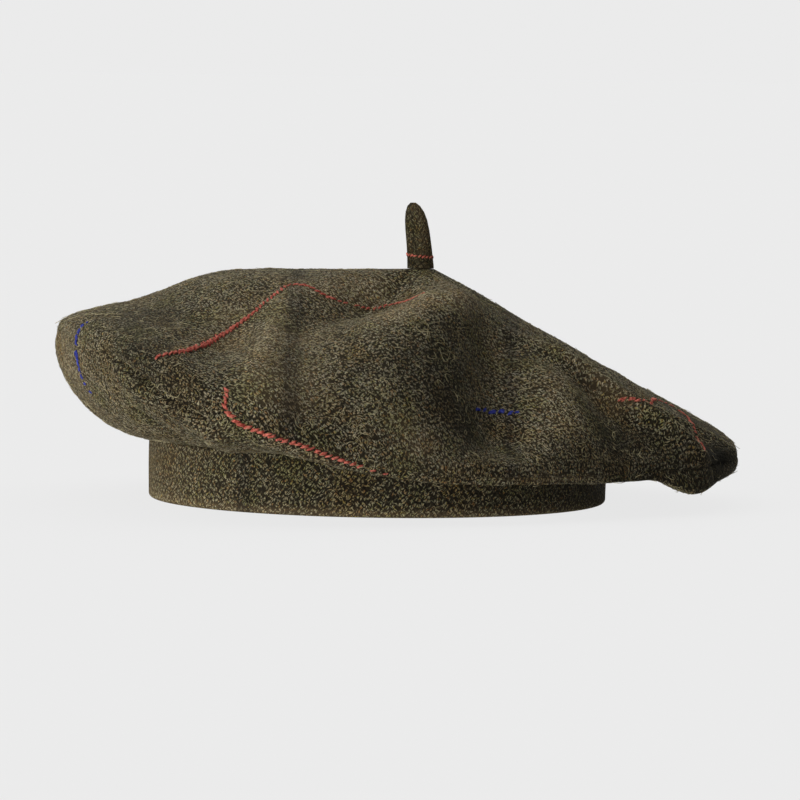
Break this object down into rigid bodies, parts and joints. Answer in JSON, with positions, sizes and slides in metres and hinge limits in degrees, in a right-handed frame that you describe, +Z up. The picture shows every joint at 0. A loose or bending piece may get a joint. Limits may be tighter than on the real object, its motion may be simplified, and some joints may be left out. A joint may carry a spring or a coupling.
{
  "type": "tam o shanter",
  "caption": "Soft tweed cap with a wide slack crown gathered to a short stalk, sitting on an oval headband that goes round the head.",
  "frame": {"origin": "on the floor, under the middle of the hat's bounding box", "axes": "+X to the low side of the crown, -Y towards the side with the gathered folds, +Z up through the stalk"},
  "size_m": [0.2842, 0.2462, 0.1233],
  "materials": {
    "crown_tweed": "rough woollen tweed",
    "side_tweed": "rough woollen tweed",
    "band_tweed": "rough woollen tweed",
    "stalk_tweed": "rough woollen tweed"
  },
  "bodies": {
    "root": {"crown_top": "crown_tweed", "crown_side": "side_tweed", "headband": "band_tweed", "stalk": "stalk_tweed"}
  },
  "joints": []
}
